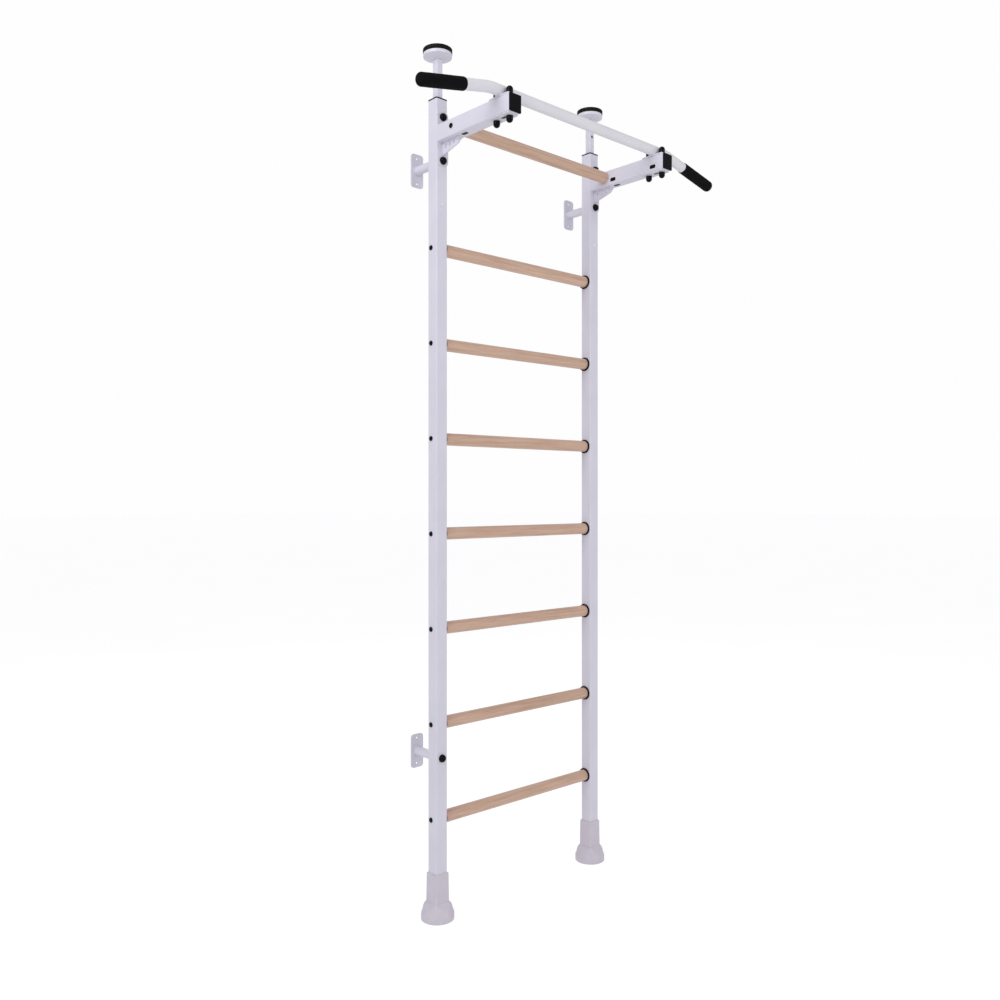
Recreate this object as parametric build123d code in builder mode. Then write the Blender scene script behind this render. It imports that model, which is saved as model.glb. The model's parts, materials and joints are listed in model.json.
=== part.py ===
from build123d import *
import math
import os

# Floor-to-ceiling wall-bar ladder with a front pull-up bar.
# Millimetres. +X is to the right, -Y is the front, +Z is up. The floor is z = 0, and the origin is the
# centre of the footprint. LEFT and RIGHT are the signs of X.
LEFT = -1
RIGHT = 1
SIDES = (("left", LEFT), ("right", RIGHT))

# Driving dimensions: the frame
overall_width = 670.0
overall_height = 2421.0
post_side = 38.0
post_wall = 1.5
post_radius = 3.0
post_foot_z = 8.0
post_top_z = 2277.0

# Rungs
rung_diameter = 35.0
rung_pitch = 265.0
lowest_rung_z = 277.0
ladder_rung_count = 7
rung_setback = 24.5
gasket_thickness = 3.0
gasket_diameter = 43.0

# Arms
arm_width = 40.0
arm_height = 46.0
arm_wall = 1.5
arm_radius = 3.0
arm_reach = 295.0
arm_axis_z = 2179.0
arm_rung_reach = 62.0
arm_rung_z = 2182.0
arm_plate_thickness = 4.0
arm_plate_low_z = 2092.0
arm_plate_high_z = 2242.0
arm_upper_bolt_z = 2226.0
end_plug_flange = 3.5
slot_length = 19.0
slot_width = 9.5
slot_corner = 2.5
slot_rise = 13.5
slot_reaches = (97.0, 253.0)

# Pull-up bar
bar_diameter = 30.0
bar_wall = 2.0
bar_reach = 248.0
bar_end_x = 587.0
bar_bend_x = 363.0
bar_bend_radius = 150.0
bar_bend_angle = math.radians(12.0)
grip_start_x = 448.0
grip_diameter = 34.0
grip_end_thickness = 5.0
saddle_width = 38.0
saddle_length = 77.0
saddle_thickness = 4.0
clamp_plate_thickness = 3.0
bar_bolt_spacing = 49.0

# Wall brackets
bracket_high_z = 2105.5
bracket_low_z = 450.0
stub_length = 73.0
stub_diameter = 25.0
stub_wall = 2.0
wall_plate_width = 42.0
wall_plate_height = 95.0
wall_plate_thickness = 4.0
wall_screw_spacing = 72.0
wall_screw_diameter = 5.5

# Ceiling jacks
stem_side = 20.0
stem_wall = 1.5
stem_radius = 2.0
stem_bottom_z = 2158.0
stem_top_z = 2392.0
stem_hole_pitch = 55.5
stem_hole_radius = 4.5
stem_hole_count = 4
spindle_radius = 6.0
spindle_engaged = 60.0
screw_clearance = 0.08
dish_radius = 40.0
dish_gap = 0.4
pad_radius = 41.0
pad_thickness = 13.0
pad_pin_radius = 4.0
pad_pin_length = 5.0
spindle_seat_height = 8.4

# Boots
foot_radius = 46.5
foot_rim_height = 17.0
boot_flare_z = 50.0
boot_top_z = 129.5
boot_socket_low = 47.0
boot_socket_top = 45.0
boot_socket_corner = 3.5

# Fasteners: M8 throughout
thread_radius = 3.95
clearance_hole_radius = 4.25
nut_bore_radius = 4.05
hex_across_flats = 13.0
head_height = 5.3
nut_height = 6.3
washer_radius = 10.0
washer_thickness = 1.6
low_head_radius = 5.6
low_head_height = 1.6
low_cap_radius = 6.9
low_cap_height = 2.6
knob_radius = 11.0
knob_height = 12.0
bar_cap_radius = 9.1
cap_play = 0.4
stub_nut_length = 12.0
insert_radius = 5.95
insert_length = 30.0
hole_plug_radius = 3.5
hole_plug_z = 1985.5

# Places worked out from the driving dimensions
wall_gap = stub_length + wall_plate_thickness
overall_depth = wall_gap + post_side + arm_reach
post_x = (overall_width - post_side) / 2
post_y = overall_depth / 2 - wall_gap - post_side / 2
post_front_y = post_y - post_side / 2
post_back_y = post_y + post_side / 2
post_inner_x = overall_width / 2 - post_side
rung_y = post_front_y + rung_setback
rung_heights = [lowest_rung_z + rung_pitch * i for i in reversed(range(ladder_rung_count))]
arm_x = (overall_width - arm_width) / 2
arm_inner_x = overall_width / 2 - arm_width
arm_low_z = arm_axis_z - arm_height / 2
arm_top_z = arm_axis_z + arm_height / 2
arm_front_y = post_front_y - arm_reach
arm_root_y = post_front_y - arm_plate_thickness
arm_rung_y = post_front_y - arm_rung_reach
arm_slot_ys = [post_front_y - reach for reach in slot_reaches]
arm_slot_z = arm_low_z + slot_rise
bar_y = post_front_y - bar_reach
bar_z = arm_top_z + saddle_thickness + bar_diameter / 2
bar_bolt_offsets = ((0, -bar_bolt_spacing / 2), (0, bar_bolt_spacing / 2))
dish_height = overall_height - pad_thickness - dish_gap - stem_top_z
hex_radius = hex_across_flats / math.sqrt(3)
BRACKETS = (
    ("upper_left", LEFT, bracket_high_z),
    ("upper_right", RIGHT, bracket_high_z),
    ("lower_left", LEFT, bracket_low_z),
)


def level(x, y, z):
    """Horizontal plane at a point, facing up."""
    return Plane(origin=(x, y, z))


def upside_down(x, y, z):
    """Horizontal plane at a point, facing down."""
    return Plane(origin=(x, y, z), x_dir=(1, 0, 0), z_dir=(0, 0, -1))


def to_front(x, y, z=0.0):
    """Upright plane facing the front, its own axes being X and Z."""
    return Plane(origin=(x, y, z), x_dir=(1, 0, 0), z_dir=(0, -1, 0))


def to_side(side, x, y=0.0, z=0.0):
    """Upright plane facing away from the middle on that side."""
    return Plane(origin=(side * x, y, z), x_dir=(0, side, 0), z_dir=(side, 0, 0))


def hollow_section(width, depth, wall, radius):
    """Rounded rectangular tube section, drawn in the open sketch."""
    RectangleRounded(width, depth, radius)
    RectangleRounded(width - 2 * wall, depth - 2 * wall, radius - wall / 2, mode=Mode.SUBTRACT)


def save(builder, name):
    builder.part.label = name
    export_step(builder.part, f"parts/{name}.step")


def save_group(name, *sets):
    """One node of separate pieces: each set is a piece and the planes that its copies stand on."""
    with BuildPart() as group:
        for piece, planes in sets:
            with Locations(*planes):
                add(piece.part)
    save(group, name)


# Fasteners and caps, each on its own plane: the covered surface is z = 0 and outside is +Z

def build_bolt(length):
    with BuildPart() as bolt:
        with BuildSketch():
            RegularPolygon(hex_radius, 6)
        extrude(amount=head_height)
        chamfer(bolt.faces().sort_by(Axis.Z)[-1].edges(), 0.8)
        with BuildSketch():
            Circle(thread_radius)
        extrude(amount=-length)
    return bolt


def build_nut():
    with BuildPart() as nut:
        with BuildSketch():
            RegularPolygon(hex_radius, 6)
            Circle(nut_bore_radius, mode=Mode.SUBTRACT)
        extrude(amount=nut_height)
    return nut


def build_washer():
    with BuildPart() as washer:
        with BuildSketch():
            Circle(washer_radius)
            Circle(clearance_hole_radius, mode=Mode.SUBTRACT)
        extrude(amount=washer_thickness)
    return washer


def build_dome_cap(radius, height, hollow_depth):
    """Domed cap, hollow for the hexagon under it."""
    with BuildPart() as cap:
        with BuildSketch(Plane.XZ):
            with BuildLine():
                Polyline((0, height), (0, 0), (radius, 0), (radius, height - radius))
                RadiusArc((radius, height - radius), (0, height), -radius)
            make_face()
        revolve(axis=Axis.Z)
        with BuildSketch():
            Circle(hex_radius + 0.2)
        extrude(amount=hollow_depth, mode=Mode.SUBTRACT)
    return cap


def build_rung_bolt():
    """Low-head bolt that runs from outside the post into the rung's insert."""
    with BuildPart() as bolt:
        with BuildSketch():
            Circle(low_head_radius)
        extrude(amount=low_head_height)
        fillet(bolt.faces().sort_by(Axis.Z)[-1].edges(), 0.8)
        with BuildSketch():
            Circle(thread_radius)
        extrude(amount=-(post_side + gasket_thickness + 24.0))
    return bolt


def build_rung_bolt_cap():
    """Flat cap pressed over a low bolt head."""
    with BuildPart() as cap:
        with BuildSketch():
            Circle(low_cap_radius)
        extrude(amount=low_cap_height)
        fillet(cap.faces().sort_by(Axis.Z)[-1].edges(), 1.6)
        with BuildSketch():
            Circle(low_head_radius + 0.2)
        extrude(amount=low_head_height + 0.2, mode=Mode.SUBTRACT)
    return cap


# Frame

def build_post(side):
    through_heights = [z for _, bracket_side, z in BRACKETS if bracket_side == side]
    with BuildPart() as post:
        with BuildSketch(level(side * post_x, post_y, post_foot_z)):
            hollow_section(post_side, post_side, post_wall, post_radius)
        extrude(amount=post_top_z - post_foot_z)
        # through holes for the wall brackets' bolts
        with BuildSketch(to_front(side * post_x, post_y)):
            with Locations(*[(0, z) for z in through_heights]):
                Circle(clearance_hole_radius)
        extrude(amount=post_side, both=True, mode=Mode.SUBTRACT)
        # front wall only: the upper arm bolt and the small plug
        with BuildSketch(to_front(side * post_x, post_y)):
            with Locations((0, arm_upper_bolt_z)):
                Circle(clearance_hole_radius)
            with Locations((0, hole_plug_z)):
                Circle(hole_plug_radius)
        extrude(amount=post_side, mode=Mode.SUBTRACT)
        # holes through both side walls for the rung bolts
        with BuildSketch(to_side(RIGHT, side * post_x)):
            with Locations(*[(rung_y, z) for z in rung_heights]):
                Circle(clearance_hole_radius)
        extrude(amount=post_side, both=True, mode=Mode.SUBTRACT)
    return post


def build_boot(side):
    """Moulded boot: a square socket that flares into a round foot."""
    x = side * post_x
    shoulder_z = (foot_rim_height + boot_flare_z) / 2 - 2.0
    shoulder_radius = foot_radius - 5.0
    with BuildPart() as boot:
        with BuildSketch(level(x, post_y, 0)):
            Circle(foot_radius)
        extrude(amount=foot_rim_height)
        fillet(boot.faces().sort_by(Axis.Z)[0].edges(), 3.0)
        with BuildSketch(level(x, post_y, foot_rim_height)):
            Circle(foot_radius)
        with BuildSketch(level(x, post_y, shoulder_z)):
            Circle(shoulder_radius)
        loft()
        with BuildSketch(level(x, post_y, shoulder_z)):
            Circle(shoulder_radius)
        with BuildSketch(level(x, post_y, boot_flare_z)):
            RectangleRounded(boot_socket_low, boot_socket_low, boot_socket_corner)
        loft()
        with BuildSketch(level(x, post_y, boot_flare_z)):
            RectangleRounded(boot_socket_low, boot_socket_low, boot_socket_corner)
        with BuildSketch(level(x, post_y, boot_top_z)):
            RectangleRounded(boot_socket_top, boot_socket_top, boot_socket_corner)
        loft()
        with BuildSketch(level(x, post_y, post_foot_z)):
            RectangleRounded(post_side, post_side, post_radius)
        extrude(amount=boot_top_z, mode=Mode.SUBTRACT)
    return boot


def build_post_bush(side):
    """Guide bush pressed into the post's top, with a thin lip on its rim."""
    body_side = post_side - 2 * post_wall
    lip_thickness = 3.5
    body_depth = 25.0
    with BuildPart() as bush:
        with BuildSketch(level(side * post_x, post_y, post_top_z)):
            RectangleRounded(post_side + 0.6, post_side + 0.6, post_radius)
        extrude(amount=lip_thickness)
        with BuildSketch(level(side * post_x, post_y, post_top_z)):
            RectangleRounded(body_side, body_side, post_radius - post_wall / 2)
        extrude(amount=-body_depth)
        with BuildSketch(level(side * post_x, post_y, post_top_z - body_depth)):
            Rectangle(stem_side + 0.6, stem_side + 0.6)
        extrude(amount=body_depth + lip_thickness, mode=Mode.SUBTRACT)
    return bush


def build_rung(half_length, y, z):
    """Beech rung along X, with a blind hole for the insert in each end."""
    with BuildPart() as rung:
        with BuildSketch(to_side(LEFT, half_length, y, z)):
            Circle(rung_diameter / 2)
        extrude(amount=-2 * half_length)
        chamfer(rung.edges().filter_by(GeomType.CIRCLE), 1.0)
        for side in (LEFT, RIGHT):
            with BuildSketch(to_side(side, half_length, y, z)):
                Circle(insert_radius + 0.05)
            extrude(amount=-insert_length, mode=Mode.SUBTRACT)
    return rung


def build_rung_insert():
    with BuildPart() as insert:
        with BuildSketch():
            Circle(insert_radius)
            Circle(nut_bore_radius, mode=Mode.SUBTRACT)
        extrude(amount=-insert_length)
    return insert


def build_gasket():
    with BuildPart() as gasket:
        with BuildSketch():
            Circle(gasket_diameter / 2)
            Circle(clearance_hole_radius, mode=Mode.SUBTRACT)
        extrude(amount=gasket_thickness)
    return gasket


def build_hole_plug():
    with BuildPart() as plug:
        with BuildSketch():
            Circle(hole_plug_radius + 1.5)
        extrude(amount=1.2)
        with BuildSketch():
            Circle(hole_plug_radius - 0.05)
        extrude(amount=-4.0)
    return plug


# Arms

def build_arm_tube(side):
    with BuildPart() as tube:
        with BuildSketch(to_front(side * arm_x, arm_root_y, arm_axis_z)):
            hollow_section(arm_width, arm_height, arm_wall, arm_radius)
        extrude(amount=arm_root_y - arm_front_y - end_plug_flange)
        with BuildSketch(to_side(RIGHT, side * arm_x)):
            with Locations((arm_rung_y, arm_rung_z)):
                Circle(clearance_hole_radius)
        extrude(amount=arm_width, both=True, mode=Mode.SUBTRACT)
        with BuildSketch(level(side * arm_x, bar_y, arm_axis_z)):
            with Locations(*bar_bolt_offsets):
                Circle(clearance_hole_radius)
        extrude(amount=arm_height, both=True, mode=Mode.SUBTRACT)
        # accessory slots: in the underside, and in the face towards the middle
        with BuildSketch(level(side * arm_x, 0, arm_axis_z)):
            with Locations(*[(0, y) for y in arm_slot_ys]):
                RectangleRounded(slot_width, slot_length, slot_corner)
        extrude(amount=-arm_height, mode=Mode.SUBTRACT)
        with BuildSketch(to_side(-side, -arm_x, 0, arm_slot_z)):
            with Locations(*[(-side * y, 0) for y in arm_slot_ys]):
                RectangleRounded(slot_length, slot_width, slot_corner)
        extrude(amount=arm_width, mode=Mode.SUBTRACT)
    return tube


def build_arm_plate(side):
    """Plate that bolts to the post's front face and carries the arm."""
    middle_z = (arm_plate_low_z + arm_plate_high_z) / 2
    with BuildPart() as plate:
        with BuildSketch(to_front(side * post_x, post_front_y, middle_z)):
            RectangleRounded(post_side, arm_plate_high_z - arm_plate_low_z, 12.0)
            with Locations((0, arm_upper_bolt_z - middle_z), (0, bracket_high_z - middle_z)):
                Circle(clearance_hole_radius, mode=Mode.SUBTRACT)
        extrude(amount=arm_plate_thickness)
    return plate


def build_arm_gusset(side):
    """Slotted web under the arm, with a short flange across its front end."""
    web_thickness = 4.0
    web_reach = 71.0
    web_root_height = 36.0
    web_tip_height = 17.0
    web_tip_rounding = 8.0
    flange_width = 14.0
    flange_height = web_tip_height - web_tip_rounding
    slot_lean = 18.0
    step_back = 17.5
    step_up = 1.5
    web_front_y = arm_root_y - web_reach
    with BuildPart() as gusset:
        with BuildSketch(Plane.YZ.offset(side * arm_x)) as web:
            with BuildLine():
                Polyline(
                    (arm_root_y, arm_low_z),
                    (arm_root_y, arm_low_z - web_root_height),
                    (web_front_y, arm_low_z - web_tip_height),
                    (web_front_y, arm_low_z),
                    close=True,
                )
            make_face()
            tip_corner = web.vertices().group_by(Axis.X)[0].sort_by(Axis.Y)[0]
            fillet(tip_corner, web_tip_rounding)
            for i in range(3):
                slot_y = arm_root_y - 14.0 - step_back * i
                slot_z = arm_low_z - 12.5 + step_up * i
                with Locations((slot_y, slot_z)):
                    SlotOverall(13.0 - 2.0 * i, 4.6, rotation=90 + slot_lean, mode=Mode.SUBTRACT)
        extrude(amount=web_thickness / 2, both=True)
        with BuildSketch(to_front(side * arm_x, web_front_y, arm_low_z - flange_height / 2)):
            Rectangle(flange_width, flange_height)
        extrude(amount=-3.0)
    return gusset


def build_arm_end_plug():
    """Plug whose flange closes the tube's end and whose hollow skirt sits inside it."""
    skirt_width = arm_width - 2 * arm_wall - 0.1
    skirt_height = arm_height - 2 * arm_wall - 0.1
    skirt_depth = 8.0
    with BuildPart() as plug:
        with BuildSketch():
            RectangleRounded(arm_width + 0.6, arm_height + 0.6, arm_radius)
        extrude(amount=-end_plug_flange)
        fillet(plug.faces().sort_by(Axis.Z)[-1].edges(), 1.2)
        with BuildSketch(Plane.XY.offset(-end_plug_flange)):
            hollow_section(skirt_width, skirt_height, 2.0, arm_radius - arm_wall / 2)
        extrude(amount=-skirt_depth)
    return plug


def build_slot_plug():
    with BuildPart() as plug:
        with BuildSketch():
            RectangleRounded(slot_length - 0.2, slot_width - 0.2, slot_corner)
        extrude(amount=-3.0)
        with BuildSketch():
            RectangleRounded(slot_length + 1.2, slot_width + 1.2, slot_corner + 0.5)
        extrude(amount=0.8)
    return plug


# Pull-up bar

def bar_axis_z(x):
    """Height of the bar's axis outside the bend."""
    return bar_z - (x - bar_bend_x) * math.tan(bar_bend_angle)


def bar_end_plane(side, x):
    """Plane across the bar's sloping end, facing outwards."""
    direction = (side * math.cos(bar_bend_angle), 0, -math.sin(bar_bend_angle))
    return Plane(origin=(side * x, bar_y, bar_axis_z(x)), x_dir=(0, 1, 0), z_dir=direction)


def build_pull_up_bar():
    tip = (bar_end_x, bar_axis_z(bar_end_x))
    bend = (bar_bend_x, bar_z)
    with BuildPart() as bar:
        with BuildLine(Plane.XZ.offset(-bar_y)) as route:
            FilletPolyline((-tip[0], tip[1]), (-bend[0], bend[1]), bend, tip, radius=bar_bend_radius)
        with BuildSketch(Plane(origin=route.line @ 0, z_dir=route.line % 0)):
            Circle(bar_diameter / 2)
            Circle(bar_diameter / 2 - bar_wall, mode=Mode.SUBTRACT)
        sweep()
    return bar


def build_grip(side):
    """Foam sleeve with a closed, rounded outer end."""
    sleeve_length = (bar_end_x - grip_start_x) / math.cos(bar_bend_angle)
    start = bar_end_plane(side, grip_start_x)
    with BuildPart() as grip:
        with BuildSketch(start):
            Circle(grip_diameter / 2)
        extrude(amount=sleeve_length + grip_end_thickness)
        fillet(grip.edges().filter_by(GeomType.CIRCLE).sort_by(Axis.X)[0 if side == LEFT else -1], 8.0)
        fillet(grip.edges().filter_by(GeomType.CIRCLE).sort_by(Axis.X)[-1 if side == LEFT else 0], 2.0)
        with BuildSketch(start):
            Circle(bar_diameter / 2)
        extrude(amount=sleeve_length, mode=Mode.SUBTRACT)
    return grip


def build_bar_end_plug():
    with BuildPart() as plug:
        with BuildSketch():
            Circle(bar_diameter / 2 - bar_wall - 0.05)
        extrude(amount=-12.0)
    return plug


def build_bar_saddle(side):
    """Plate on top of the arm with a welded cradle under the bar."""
    cradle_height = 8.0
    with BuildPart() as saddle:
        with BuildSketch(level(side * arm_x, bar_y, arm_top_z)):
            RectangleRounded(saddle_width, saddle_length, 6.0)
            with Locations(*bar_bolt_offsets):
                Circle(clearance_hole_radius, mode=Mode.SUBTRACT)
        extrude(amount=saddle_thickness)
        with BuildSketch(level(side * arm_x, bar_y, arm_top_z + saddle_thickness)):
            RectangleRounded(saddle_width, 24.0, 3.0)
        extrude(amount=cradle_height)
        with BuildSketch(to_side(RIGHT, side * arm_x, bar_y, bar_z)):
            Circle(bar_diameter / 2)
        extrude(amount=saddle_width, both=True, mode=Mode.SUBTRACT)
    return saddle


def build_clamp_plate():
    """Plate under the arm that spreads the bolts' load, open at the arm's slot."""
    with BuildPart() as plate:
        with BuildSketch():
            RectangleRounded(saddle_width, saddle_length, 6.0)
            with Locations(*bar_bolt_offsets):
                Circle(clearance_hole_radius, mode=Mode.SUBTRACT)
            with Locations((0, arm_slot_ys[1] - bar_y)):
                RectangleRounded(slot_width + 2.0, slot_length + 2.0, slot_corner + 1.0, mode=Mode.SUBTRACT)
        extrude(amount=clamp_plate_thickness)
    return plate


# Wall brackets

def build_wall_plate(side, z):
    with BuildPart() as plate:
        with BuildSketch(to_front(side * post_x, post_back_y + wall_gap, z)):
            RectangleRounded(wall_plate_width, wall_plate_height, 9.0)
        extrude(amount=wall_plate_thickness)
        with Locations(to_front(side * post_x, post_back_y + stub_length, z)):
            with GridLocations(0, wall_screw_spacing, 1, 2):
                CounterSinkHole(wall_screw_diameter / 2, wall_screw_diameter, counter_sink_angle=90)
    return plate


def build_wall_stub():
    with BuildPart() as stub:
        with BuildSketch():
            Circle(stub_diameter / 2)
            Circle(stub_diameter / 2 - stub_wall, mode=Mode.SUBTRACT)
        extrude(amount=stub_length)
    return stub


def build_stub_nut():
    """Round threaded plug welded into the stub's end against the post."""
    with BuildPart() as nut:
        with BuildSketch():
            Circle(stub_diameter / 2 - stub_wall - 0.1)
            Circle(nut_bore_radius, mode=Mode.SUBTRACT)
        extrude(amount=-stub_nut_length)
    return nut


# Ceiling jacks

def build_jack_stem(side):
    """Square stem; one of its holes is level with the upper arm bolt."""
    stem_hole_heights = [arm_upper_bolt_z + stem_hole_pitch * i for i in range(-1, stem_hole_count - 1)]
    with BuildPart() as stem:
        with BuildSketch(level(side * post_x, post_y, stem_bottom_z)):
            hollow_section(stem_side, stem_side, stem_wall, stem_radius)
        extrude(amount=stem_top_z - stem_bottom_z)
        with BuildSketch(to_front(side * post_x, post_y)):
            with Locations(*[(0, z) for z in stem_hole_heights]):
                Circle(stem_hole_radius)
        extrude(amount=stem_side, both=True, mode=Mode.SUBTRACT)
    return stem


def build_jack_guide(side):
    """Sliding foot on the stem's lower end, a running fit inside the post."""
    guide_side = post_side - 2 * post_wall - 0.6
    floor_thickness = 5.0
    collar_height = 4.0
    with BuildPart() as guide:
        with BuildSketch(level(side * post_x, post_y, stem_bottom_z - floor_thickness)):
            RectangleRounded(guide_side, guide_side, 2.2)
        extrude(amount=floor_thickness + collar_height)
        with BuildSketch(level(side * post_x, post_y, stem_bottom_z)):
            RectangleRounded(stem_side, stem_side, stem_radius)
        extrude(amount=collar_height, mode=Mode.SUBTRACT)
    return guide


def build_jack_nut(side):
    """Square threaded plug welded into the stem's upper end."""
    plug_side = stem_side - 2 * stem_wall - 0.1
    with BuildPart() as nut:
        with BuildSketch(level(side * post_x, post_y, stem_top_z)):
            RectangleRounded(plug_side, plug_side, stem_radius - stem_wall / 2)
            Circle(spindle_radius + screw_clearance, mode=Mode.SUBTRACT)
        extrude(amount=-30.0)
    return nut


def build_jack_spindle(side):
    with BuildPart() as spindle:
        with BuildSketch(level(side * post_x, post_y, stem_top_z - spindle_engaged)):
            Circle(spindle_radius)
        extrude(amount=spindle_engaged + spindle_seat_height)
        chamfer(spindle.faces().sort_by(Axis.Z)[0].edges(), 1.0)
    return spindle


def build_jack_dish(side):
    """Bowl-shaped dish with a hub below, a tall rim, and a hole above for the pad's pin."""
    hub_radius = 14.0
    rim_low = dish_height - 8.5
    axis_plane = Plane(origin=(side * post_x, post_y, stem_top_z), x_dir=(1, 0, 0), z_dir=(0, -1, 0))
    with BuildPart() as dish:
        with BuildSketch(axis_plane):
            with BuildLine():
                Polyline((0, dish_height), (0, dish_gap), (hub_radius - 1.5, dish_gap), (hub_radius, 2.0))
                ThreePointArc((hub_radius, 2.0), (28.5, 3.6), (dish_radius, rim_low))
                Polyline((dish_radius, rim_low), (dish_radius, dish_height), (0, dish_height))
            make_face()
        revolve(axis=Axis((side * post_x, post_y, 0), (0, 0, 1)))
        with BuildSketch(level(side * post_x, post_y, stem_top_z)):
            Circle(spindle_radius)
        extrude(amount=spindle_seat_height, mode=Mode.SUBTRACT)
        with BuildSketch(level(side * post_x, post_y, stem_top_z + dish_height)):
            Circle(pad_pin_radius + screw_clearance)
        extrude(amount=-pad_pin_length, mode=Mode.SUBTRACT)
    return dish


def build_ceiling_pad(side):
    """Rubber pad that stays still against the ceiling while the dish turns under it."""
    with BuildPart() as pad:
        with BuildSketch(level(side * post_x, post_y, overall_height)):
            Circle(pad_radius)
        extrude(amount=-pad_thickness)
        fillet(pad.faces().sort_by(Axis.Z)[-1].edges(), 2.0)
        with BuildSketch(level(side * post_x, post_y, overall_height - pad_thickness)):
            Circle(pad_pin_radius)
        extrude(amount=-pad_pin_length)
    return pad


os.makedirs("parts", exist_ok=True)

# Frame
for name, side in SIDES:
    save(build_post(side), f"{name}_post")
    save(build_boot(side), f"{name}_boot")
    save(build_post_bush(side), f"{name}_post_bush")
rung_end_x = post_inner_x - gasket_thickness
for number, z in enumerate(rung_heights, start=1):
    save(build_rung(rung_end_x, rung_y, z), f"rung_{number}")
save(build_rung(arm_inner_x, arm_rung_y, arm_rung_z), "arm_rung")

outer_x = overall_width / 2
ladder_ends = [(side, z) for _, side in SIDES for z in rung_heights]
rung_bolt_planes = [to_side(side, outer_x, rung_y, z) for side, z in ladder_ends]
rung_bolt_planes += [to_side(side, outer_x, arm_rung_y, arm_rung_z) for _, side in SIDES]
gasket_planes = [to_side(side, rung_end_x, rung_y, z) for side, z in ladder_ends]
arm_rung_ends = [to_side(side, arm_inner_x, arm_rung_y, arm_rung_z) for _, side in SIDES]
plug_planes = [to_front(side * post_x, post_front_y, hole_plug_z) for _, side in SIDES]
save_group("rung_bolts", (build_rung_bolt(), rung_bolt_planes))
save_group("rung_bolt_caps", (build_rung_bolt_cap(), rung_bolt_planes))
save_group("rung_inserts", (build_rung_insert(), gasket_planes + arm_rung_ends))
save_group("rung_gaskets", (build_gasket(), gasket_planes))
save_group("post_hole_plugs", (build_hole_plug(), plug_planes))

# Arms
for name, side in SIDES:
    save(build_arm_tube(side), f"{name}_arm_tube")
    save(build_arm_plate(side), f"{name}_arm_plate")
    save(build_arm_gusset(side), f"{name}_arm_gusset")
plug_face_planes = [to_front(side * arm_x, arm_front_y, arm_axis_z) for _, side in SIDES]
slot_planes = []
for _, side in SIDES:
    for y in arm_slot_ys:
        slot_planes.append(Plane(origin=(side * arm_x, y, arm_low_z), x_dir=(0, 1, 0), z_dir=(0, 0, -1)))
        slot_planes.append(to_side(-side, -arm_inner_x, y, arm_slot_z))
save_group("arm_end_plugs", (build_arm_end_plug(), plug_face_planes))
save_group("arm_slot_plugs", (build_slot_plug(), slot_planes))

# Pull-up bar and what clamps it
save(build_pull_up_bar(), "pull_up_bar")
bar_tip_planes = [bar_end_plane(side, bar_end_x) for _, side in SIDES]
save_group("bar_end_plugs", (build_bar_end_plug(), bar_tip_planes))
for name, side in SIDES:
    save(build_grip(side), f"{name}_grip")
    save(build_bar_saddle(side), f"{name}_bar_saddle")
clamp_low_z = arm_low_z - clamp_plate_thickness
saddle_top_z = arm_top_z + saddle_thickness
bar_bolt_places = [(side * arm_x, bar_y + dy) for _, side in SIDES for _, dy in bar_bolt_offsets]
low_seats = [upside_down(x, y, clamp_low_z) for x, y in bar_bolt_places]
top_seats = [level(x, y, saddle_top_z) for x, y in bar_bolt_places]
head_seats = [upside_down(x, y, clamp_low_z - washer_thickness) for x, y in bar_bolt_places]
nut_seats = [level(x, y, saddle_top_z + washer_thickness) for x, y in bar_bolt_places]
thread_past_nut = 3.0
bar_bolt_length = saddle_top_z - clamp_low_z + 2 * washer_thickness + nut_height + thread_past_nut
head_cap = build_dome_cap(bar_cap_radius, 17.0, head_height + cap_play)
nut_cap = build_dome_cap(bar_cap_radius, 22.0, nut_height + thread_past_nut + cap_play)
clamp_plate_planes = [level(side * arm_x, bar_y, clamp_low_z) for _, side in SIDES]
save_group("bar_clamp_plates", (build_clamp_plate(), clamp_plate_planes))
save_group("bar_bolts", (build_bolt(bar_bolt_length), head_seats))
save_group("bar_nuts", (build_nut(), nut_seats))
save_group("bar_washers", (build_washer(), low_seats + top_seats))
save_group("bar_bolt_caps", (head_cap, head_seats), (nut_cap, nut_seats))

# Bolts through the posts
upper_bolt_planes = [to_front(side * post_x, arm_root_y, arm_upper_bolt_z) for _, side in SIDES]
bracket_bolt_planes = [to_front(side * post_x, arm_root_y, bracket_high_z) for _, side in SIDES]
bracket_bolt_planes.append(to_front(LEFT * post_x, post_front_y, bracket_low_z))
weld_nut_y = post_front_y + post_wall + nut_height
weld_nut_planes = [to_front(side * post_x, weld_nut_y, arm_upper_bolt_z) for _, side in SIDES]
stub_nut_planes = [to_front(side * post_x, post_back_y, z) for _, side, z in BRACKETS]
upper_bolt = build_bolt(arm_plate_thickness + post_wall + nut_height)
bracket_bolt = build_bolt(arm_plate_thickness + post_side + stub_nut_length)
knob = build_dome_cap(knob_radius, knob_height, head_height + cap_play)
save_group("arm_upper_bolts", (upper_bolt, upper_bolt_planes))
save_group("arm_weld_nuts", (build_nut(), weld_nut_planes))
save_group("bracket_bolts", (bracket_bolt, bracket_bolt_planes))
save_group("bracket_nuts", (build_stub_nut(), stub_nut_planes))
save_group("bolt_knobs", (knob, upper_bolt_planes + bracket_bolt_planes))

# Wall brackets
for name, side, z in BRACKETS:
    save(build_wall_plate(side, z), f"{name}_wall_plate")
stub_planes = [to_front(side * post_x, post_back_y + stub_length, z) for _, side, z in BRACKETS]
save_group("wall_stubs", (build_wall_stub(), stub_planes))

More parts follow.
